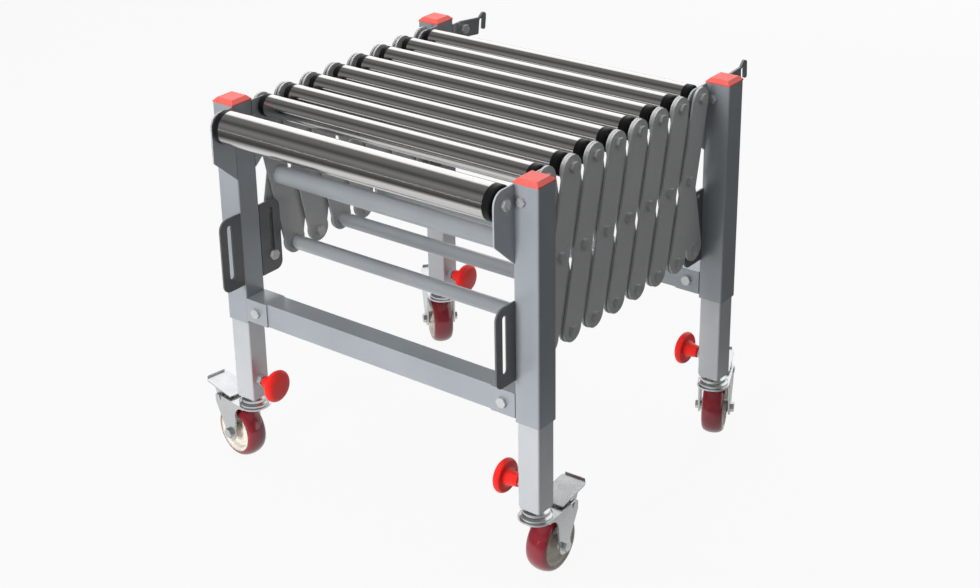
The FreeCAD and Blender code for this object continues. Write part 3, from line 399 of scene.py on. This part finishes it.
def turned(name, profile, centre, axis, finishes, finish_index):
    """A surface of revolution: point = centre + along * axis + radius * (cos a * e1 + sin a * e2),
    for every profile row and every angle a. The profile runs from pole to pole, or is a closed loop."""
    axis = np.asarray(axis, float) / np.linalg.norm(axis)
    e1 = np.cross(axis, [0.0, 0.0, 1.0] if abs(axis[2]) < NEARLY_UPRIGHT else [1.0, 0.0, 0.0])
    e1 /= np.linalg.norm(e1)
    e2 = np.cross(axis, e1)
    angle = np.linspace(0, 2 * np.pi, AROUND, endpoint=False)
    ring = np.cos(angle)[:, None] * e1 + np.sin(angle)[:, None] * e2
    along, radius = profile[:, 0], profile[:, 1]
    points = np.asarray(centre) + along[:, None, None] * axis + radius[:, None, None] * ring[None]
    row = np.arange(len(profile) - 1)[:, None] * AROUND
    here = np.arange(AROUND)[None]
    ahead = (here + 1) % AROUND
    corners = [row + here, row + ahead, row + AROUND + ahead, row + AROUND + here]
    quads = np.stack(corners, -1).reshape(-1, 4)
    mesh = bpy.data.meshes.new(name)
    mesh.from_pydata(points.reshape(-1, 3).tolist(), [], quads.tolist())
    mesh.polygons.foreach_set("material_index", np.repeat(finish_index, AROUND).astype(np.int32))
    for finish in finishes:
        mesh.materials.append(finish)
    mesh.validate()
    obj = bpy.data.objects.new(name, mesh)
    bpy.context.scene.collection.objects.link(obj)
    return obj


print("lathe ready,", AROUND, "points round")

# %% Off the lathe
SAME_POINT, NO_LENGTH = 1e-6, 1e-7
SHARP_EDGE = math.radians(50)


def clean_turned(obj):
    """Merges the poles, turns the faces outwards and keeps only real edges sharp."""
    work = bmesh.new()
    work.from_mesh(obj.data)
    bmesh.ops.remove_doubles(work, verts=work.verts, dist=SAME_POINT)
    bmesh.ops.dissolve_degenerate(work, edges=work.edges, dist=NO_LENGTH)
    bmesh.ops.recalc_face_normals(work, faces=work.faces)
    work.to_mesh(obj.data)
    work.free()
    obj.data.polygons.foreach_set("use_smooth", np.ones(len(obj.data.polygons), bool))
    obj.data.set_sharp_from_angle(angle=SHARP_EDGE)


def stands_for(obj, node, body):
    """The new piece rides on the node's body and replaces the node."""
    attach(obj, body)
    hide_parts(node)


print("edges sharp from", round(math.degrees(SHARP_EDGE)), "degrees")

# %% [markdown]
# ## Rollers
# Each roller is a thin polished tube with a black plastic cap pressed into each end. The cap
# shows as a dark rim with a rounded edge and a hollow round the axle, and behind a fine groove
# as a collar flush with the tube. Caps and tube could be three objects, but they turn as one,
# so one profile holds them all and only its long middle run is steel. The collar's short runs
# also keep the shading straight where the long run ends.

# %% Turn the rollers
CAP_RIM, AXLE_BORE = 0.008, 0.0051


def roller_profile(half, radius):
    """One end's section as (along, radius) points: bore, cap face with a dished ring, rim, groove and
    collar. The tube starts at the last point."""
    edge = half - CAP_RIM
    boss, dish, flush = half - 0.0005, half - 0.003, radius - 0.0001
    return np.array([
        (edge - 0.012, AXLE_BORE), (boss, AXLE_BORE), (boss, AXLE_BORE + 0.004), (dish, AXLE_BORE + 0.0055),
        (dish, radius * 0.72), (half, radius * 0.78), (half, radius - 0.0016), (half - 0.0016, radius),
        (edge + 0.0004, radius), (edge + 0.0002, radius - 0.0005), (edge, radius - 0.0005),
        (edge - 0.0004, flush), (edge - 0.003, flush), (edge - 0.005, flush)])


def make_roller(node):
    """One roller read from its node's box: caps at both ends, tube between them, bore back to the start."""
    low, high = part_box(node)
    centre = [(a + b) / 2 for a, b in zip(low, high)]
    half, radius = (high.x - low.x) / 2, (high.z - low.z) / 2
    side = eased(roller_profile(half, radius), radius=0.0008)
    profile = np.vstack([side * [-1, 1], side[::-1], side[:1] * [-1, 1]])
    index = np.zeros(len(profile) - 1, int)
    index[len(side) - 1] = 1
    obj = turned(node + "_turned", profile, centre, (1, 0, 0), [end_black, roller_steel], index)
    clean_turned(obj)
    stands_for(obj, node, node)
    return obj


rollers = [make_roller(name) for name in nodes if name.startswith("roller_") or name == "front_roller"]
print("rollers", len(rollers), "faces each", len(rollers[0].data.polygons))

# %% [markdown]
# ## Caster wheels
# A dark red tread is cast round a cream hub. The tread's section is nearly a half circle, so
# the side view shows a cream disc with a raised ring, a hollow web and a boss at the axle. Hub
# and tread could be two pieces, but they are cast together, so their section is one run of
# points from pole to pole, and each stretch of it knows its finish.

# %% Turn the wheels
CORNERS = ("front_left", "front_right", "rear_left", "rear_right")
TREAD_HALF, TREAD_DEPTH, TREAD_LIP, BOSS_HALF = 0.0188, 0.012, 0.0008, 0.0238
CROWN_POINTS, CROWN_POWER = 41, 0.8
joint_of = {joint["name"]: joint for joint in frame["joints"]}


def wheel_profile(radius):
    """The wheel's section as (along, radius) with a finish for each run: boss, web, ring and rim of the
    hub, the tread's crown, then the hub again. On the crown, along = half * cos t and
    radius = foot + rise * (sin t) ^ power."""
    seat = radius - TREAD_DEPTH
    foot = seat + TREAD_LIP
    side = [(BOSS_HALF, 0.0), (BOSS_HALF, 0.0085), (BOSS_HALF - 0.001, 0.011), (0.009, 0.0125),
            (0.008, 0.019), (0.0098, 0.0205), (0.0098, 0.0245), (0.0075, 0.026), (0.0085, seat - 0.007),
            (TREAD_HALF - 0.0035, seat - 0.0045), (TREAD_HALF - 0.0022, seat - 0.0012),
            (TREAD_HALF - 0.0024, seat)]
    t = np.linspace(0.0, np.pi, CROWN_POINTS)
    crown = np.stack([TREAD_HALF * np.cos(t), foot + (radius - foot) * np.sin(t) ** CROWN_POWER], 1)
    hub = eased(side, radius=0.0012)
    profile = np.vstack([hub, crown, hub[::-1] * [-1, 1]])
    index = np.zeros(len(profile) - 1, int)
    index[len(hub):len(hub) + len(crown) - 1] = 1
    return profile, index


def make_wheel(corner):
    """One wheel on its axle, which the joint's place and axis give."""
    node = "wheel_" + corner
    low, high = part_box(node)
    joint = joint_of["wheel_%s_spin" % corner]
    profile, index = wheel_profile((high.z - low.z) / 2)
    obj = turned(node + "_turned", profile, joint["pos_m"], joint["axis"], [hub_cream, tread_red], index)
    clean_turned(obj)
    stands_for(obj, node, node)
    return obj


wheels = [make_wheel(corner) for corner in CORNERS]
print("wheels", len(wheels), "faces each", len(wheels[0].data.polygons))

# %% [markdown]
# ## Clamp knobs
# The knob is a moulded mushroom: a thick round head, slightly domed in front, a waist behind
# it and a steel screw. A subdivided cage could give such soft corners. A profile of a few
# points joined by generous arcs gives them too, and its sizes can be read off the list.

# %% Turn the knobs
SCREW_RADIUS, SOFT_CORNER, SOFT_STEPS = 0.0048, 0.0035, 7


def knob_profile(front, tip, full):
    """Head and waist, then the screw, as (along, radius) from the dome's middle to the screw's tip."""
    outline = np.array([
        (0.0, 0.0), (0.0004, 0.013), (0.0018, 0.0232), (0.0062, full - 0.0004), (0.0112, full),
        (0.0155, 0.0262), (0.0160, 0.0240), (0.0160, 0.0170), (0.0195, 0.0130), (0.0300, 0.0112),
        (0.0380, 0.0102), (0.0380, SCREW_RADIUS)])
    moulding = eased(outline + [front, 0.0], SOFT_CORNER, SOFT_STEPS)
    screw = np.array([(front + 0.0381, SCREW_RADIUS), (tip - 0.001, SCREW_RADIUS), (tip, 0.0040), (tip, 0.0)])
    profile = np.vstack([moulding, screw])
    index = np.zeros(len(profile) - 1, int)
    index[len(moulding):] = 1
    return profile, index


def make_knob(corner):
    """One knob along X, which faces the middle of the table."""
    node = "knob_" + corner
    low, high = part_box(node)
    side = 1 if "right" in corner else -1
    front, tip = sorted((abs(low.x), abs(high.x)))
    profile, index = knob_profile(front, tip, (high.z - low.z) / 2)
    place = joint_of["knob_%s_turn" % corner]["pos_m"]
    centre = [0.0, place[1], place[2]]
    obj = turned(node + "_turned", profile * [side, 1], centre, (1, 0, 0), [knob_red, zinc], index)
    clean_turned(obj)
    stands_for(obj, node, node)
    return obj


knobs = [make_knob(corner) for corner in CORNERS]
print("knobs", len(knobs), "faces each", len(knobs[0].data.polygons))

# %% [markdown]
# ## The room
# The table stands in a pale studio. To the camera the room is simply white. Polished rollers
# mirror all of it, though, and in a room that is white all round they would look flat and
# pale. Panels could be hung up as objects, but then they would light the table too. So only
# mirrored rays see a room whose back wall is bright and whose ceiling and camera side are dim:
# its grey changes with the angle round the X axis, as long panels hung across the room would
# look, and that gives the rollers their even dark and bright lines. Rays that carry light to
# the table find a faint even light.

# %% World
# 0 is the back wall's horizon, a half the zenith, 1 the horizon behind the camera
PANELS = [(0.0, 1.0), (0.32, 1.0), (0.38, 0.14), (0.54, 0.13),
          (0.68, 0.05), (0.76, 0.13), (0.83, 0.19), (1.0, 0.1)]
PANEL_LIGHT, EVEN_LIGHT = 1.6, 0.28
WHITE, COOL_WHITE = (1.0, 1.0, 1.0), (0.97, 0.985, 1.0)


def backdrop(tree, node, colour, strength):
    """A Background shader, given its colour, which may be a socket, and its strength."""
    feed(tree, colour, node.inputs["Color"])
    node.inputs["Strength"].default_value = strength
    return node


def shown_instead(tree, share, surface, source):
    """The surface, but for a share of the rays the source in its place."""
    mix = tree.nodes.new("ShaderNodeMixShader")
    first, second = mix.inputs[1], mix.inputs[2]
    link(tree, share, mix.inputs["Fac"])
    link(tree, surface.outputs[0], first)
    link(tree, source.outputs[0], second)
    return mix


world = bpy.data.worlds.new("studio")
bpy.context.scene.world = world
world.use_nodes = True
sky = world.node_tree
parts = sky.nodes.new("ShaderNodeSeparateXYZ")
link(sky, sky.nodes.new("ShaderNodeTexCoord").outputs["Generated"], parts.inputs["Vector"])
turn = maths(sky, "DIVIDE", maths(sky, "ARCTAN2", parts.outputs["Z"], parts.outputs["Y"]), math.pi)
mirrored = backdrop(sky, sky.nodes.new("ShaderNodeBackground"), ramp(sky, turn, PANELS), PANEL_LIGHT)
white = backdrop(sky, sky.nodes.new("ShaderNodeBackground"), WHITE, 1.0)
room = backdrop(sky, sky.nodes["Background"], COOL_WHITE, EVEN_LIGHT)
rays = sky.nodes.new("ShaderNodeLightPath")
for ray, source in (("Is Glossy Ray", mirrored), ("Is Transmission Ray", white), ("Is Camera Ray", white)):
    room = shown_instead(sky, rays.outputs[ray], room, source)
link(sky, room.outputs[0], sky.nodes["World Output"].inputs["Surface"])
print("world with", len(PANELS), "panel stops")

# %% [markdown]
# ## The paper
# The table stands on a wide sheet of paper. Lamps strong enough to make paper white would burn
# out the table, so the sheet itself is grey, and to the camera most of it glows plain white:
# what is left of the grey keeps the shadow under the wheels. Mirrored rays see a painted lit
# patch instead: a glow round the table that fades into dim paper. This painted reflection
# draws the low bright line on each roller.

# %% Floor
SPAN = 30.0
PAPER_GREY = (0.27, 0.27, 0.27)
GLOW_SHARE = 0.93
PATCH_SHIFT, PATCH_STRETCH = (0.35, 0.15, 0.0), (1.4, 1.0, 1.0)
PATCH_SCALE = 8.0  # metres from the patch's middle at which the ramp would end
# greys of the painted lit patch along the distance; only mirrored rays see this glow
PATCH = [(0.0, 0.85), (0.06, 0.9), (0.094, 1.0), (0.128, 0.5),
         (0.148, 0.3), (0.17, 0.12), (0.2, 0.08), (0.8, 0.18)]


def glowing(tree, colour):
    """One Emission shader of a colour or a socket."""
    node = tree.nodes.new("ShaderNodeEmission")
    feed(tree, colour, node.inputs["Color"])
    return node


floor_mesh = bpy.data.meshes.new("floor")
sheet = [(-SPAN, -SPAN, 0), (SPAN, -SPAN, 0), (SPAN, SPAN, 0), (-SPAN, SPAN, 0)]
floor_mesh.from_pydata(sheet, [], [(0, 1, 2, 3)])
floor = bpy.data.objects.new("floor", floor_mesh)
bpy.context.scene.collection.objects.link(floor)
paper, tree, shader, coords = start_finish("white_paper", Roughness=0.9, Base_Color=(*PAPER_GREY, 1.0))
patch = tree.nodes.new("ShaderNodeMapping")
patch.inputs["Location"].default_value = PATCH_SHIFT
patch.inputs["Scale"].default_value = PATCH_STRETCH
link(tree, coords, patch.inputs["Vector"])
distance = tree.nodes.new("ShaderNodeVectorMath")
distance.operation = "LENGTH"
link(tree, patch.outputs["Vector"], distance.inputs[0])
# painted light: a glow that is bright round the table and dim further off, shown only to mirrored rays
painted_patch_glow = ramp(tree, maths(tree, "DIVIDE", distance.outputs["Value"], PATCH_SCALE), PATCH)
rays = tree.nodes.new("ShaderNodeLightPath")
seen = maths(tree, "MULTIPLY", rays.outputs["Is Camera Ray"], GLOW_SHARE)
surface = shown_instead(tree, seen, shader, glowing(tree, WHITE))
surface = shown_instead(tree, rays.outputs["Is Glossy Ray"], surface, glowing(tree, painted_patch_glow))
link(tree, surface.outputs[0], tree.nodes["Material Output"].inputs["Surface"])
floor_mesh.materials.append(paper)
print("floor", 2 * SPAN, "m square")

# %% [markdown]
# ## Lamps
# The photograph has soft light with bright front faces and darker sides. Small lamps would
# draw hard shadows, so there are three large soft boxes: a strong one in front, one overhead
# and one behind. Mirrors don't see them, because the room already has the panels that the
# rollers mirror.

# %% Lamps
def facing(back):
    """The level right and the up of something that looks along minus back, a unit vector."""
    right = np.cross([0.0, 0.0, 1.0], back)
    right /= np.linalg.norm(right)
    return right, np.cross(back, right)


def set_up(obj, place, right, up, back):
    """Puts an object at a place, with its X, Y and Z along three unit vectors."""
    axes = Matrix(np.stack([right, up, back], 1).tolist())
    obj.matrix_world = Matrix.Translation(place) @ axes.to_4x4()
    bpy.context.scene.collection.objects.link(obj)


def soft_box(name, place, aim, width, height, power):
    """A rectangular lamp that faces a point; its local -Z looks along the beam."""
    data = bpy.data.lights.new(name, "AREA")
    data.shape = "RECTANGLE"
    data.size, data.size_y = width, height
    data.energy = power
    lamp = bpy.data.objects.new(name, data)
    back = np.asarray(place, float) - np.asarray(aim, float)
    back /= np.linalg.norm(back)
    set_up(lamp, place, *facing(back), back)
    lamp.visible_glossy = False
    return lamp


lamps = [
    soft_box("front_box", (-0.1, -4.2, 1.0), aim=(0, 0, 0.35), width=1.1, height=1.5, power=204.0),
    soft_box("top_box", (-0.6, -0.2, 3.2), aim=(0, 0, 0.3), width=2.4, height=2.4, power=68.0),
    soft_box("back_box", (-0.8, 4.0, 1.5), aim=(0, 0, 0.35), width=1.6, height=1.5, power=90.0),
]
print("lamps", len(lamps), "with", sum(lamp.data.energy for lamp in lamps), "W")

# %% [markdown]
# ## Camera
# The photograph was taken from the front right, about a metre above the deck, with a fairly
# long lens. A camera could be set by eye, but corners of the posts that are known in metres and
# seen in the picture give a place, a turn and a lens that fit the whole table at once. The
# picture's lines run together as if it had been cropped from a larger one, so the lens is
# shifted a little.

# %% Camera
WIDE, HIGH = 980, 588  # the picture, in pixels
FOCAL = 1805.16  # the lens's length, in pixels
MIDDLE_X, MIDDLE_Y = 420.0, 200.0  # the pixel on the lens's axis
SENSOR = 36.0  # mm
AZIMUTH, ELEVATION, ROLL = (math.radians(value) for value in (39.87, 22.75, -1.81))
PLACE = (1.7100, -2.20637, 1.65543)

back = np.array([math.sin(AZIMUTH) * math.cos(ELEVATION), -math.cos(AZIMUTH) * math.cos(ELEVATION),
                 math.sin(ELEVATION)])
right, up = facing(back)
rolled_right = right * math.cos(ROLL) + up * math.sin(ROLL)
rolled_up = -right * math.sin(ROLL) + up * math.cos(ROLL)
lens = bpy.data.cameras.new("camera")
lens.sensor_width = SENSOR
lens.lens = FOCAL / WIDE * SENSOR
lens.shift_x = (WIDE / 2 - MIDDLE_X) / WIDE
lens.shift_y = (MIDDLE_Y - HIGH / 2) / WIDE
camera = bpy.data.objects.new("camera", lens)
set_up(camera, PLACE, rolled_right, rolled_up, back)
bpy.context.scene.camera = camera
bpy.context.scene.view_settings.view_transform = "Standard"
print("camera lens", round(lens.lens, 1), "mm, shift", round(lens.shift_x, 3), round(lens.shift_y, 3))
